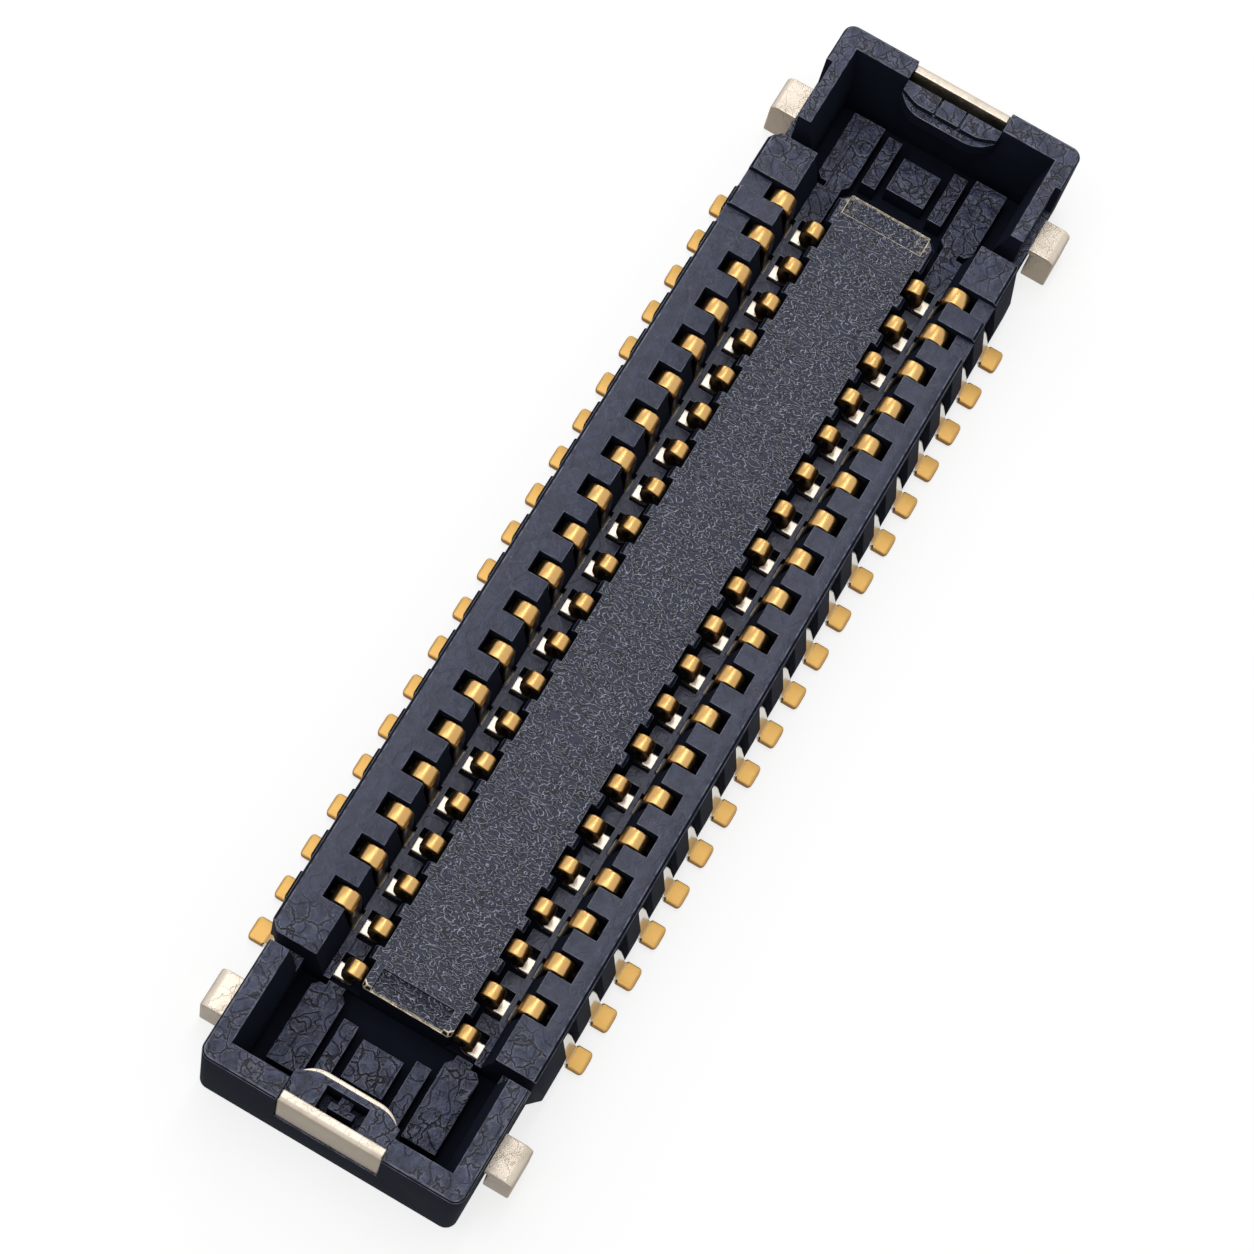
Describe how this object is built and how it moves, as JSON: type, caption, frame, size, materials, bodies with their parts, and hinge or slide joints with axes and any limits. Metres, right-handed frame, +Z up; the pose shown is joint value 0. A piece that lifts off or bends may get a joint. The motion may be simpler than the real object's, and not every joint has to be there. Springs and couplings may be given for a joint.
{
  "type": "board to board connector receptacle",
  "caption": "Low fine-pitch board to board receptacle: dark moulded housing, centre island between rows of gold strip contacts, and folded metal hold-downs at its ends.",
  "frame": {"origin": "on the circuit board under the middle of the body", "axes": "+X along the body to the far end, +Y towards the left row, +Z up from the board to the mating side"},
  "size_m": [0.0106, 0.0028, 0.001],
  "materials": {
    "housing_lcp": "moulded glass-filled liquid crystal polymer, fine wrinkle on the island and flow marks on the rims",
    "contact_gold": "gold plating on a formed copper alloy strip, satin",
    "hold_down_tin": "tin plating on a stamped and folded plate, slightly rough"
  },
  "bodies": {
    "root": {"housing": "housing_lcp", "hold_down_near": "hold_down_tin", "hold_down_far": "hold_down_tin", "contact_left_01": "contact_gold", "contact_left_02": "contact_gold", "contact_left_03": "contact_gold", "contact_left_04": "contact_gold", "contact_left_05": "contact_gold", "contact_left_06": "contact_gold", "contact_left_07": "contact_gold", "contact_left_08": "contact_gold", "contact_left_09": "contact_gold", "contact_left_10": "contact_gold", "contact_left_11": "contact_gold", "contact_left_12": "contact_gold", "contact_left_13": "contact_gold", "contact_left_14": "contact_gold", "contact_left_15": "contact_gold", "contact_left_16": "contact_gold", "contact_left_17": "contact_gold", "contact_left_18": "contact_gold", "contact_left_19": "contact_gold", "contact_left_20": "contact_gold", "contact_right_01": "contact_gold", "contact_right_02": "contact_gold", "contact_right_03": "contact_gold", "contact_right_04": "contact_gold", "contact_right_05": "contact_gold", "contact_right_06": "contact_gold", "contact_right_07": "contact_gold", "contact_right_08": "contact_gold", "contact_right_09": "contact_gold", "contact_right_10": "contact_gold", "contact_right_11": "contact_gold", "contact_right_12": "contact_gold", "contact_right_13": "contact_gold", "contact_right_14": "contact_gold", "contact_right_15": "contact_gold", "contact_right_16": "contact_gold", "contact_right_17": "contact_gold", "contact_right_18": "contact_gold", "contact_right_19": "contact_gold", "contact_right_20": "contact_gold"}
  },
  "joints": []
}
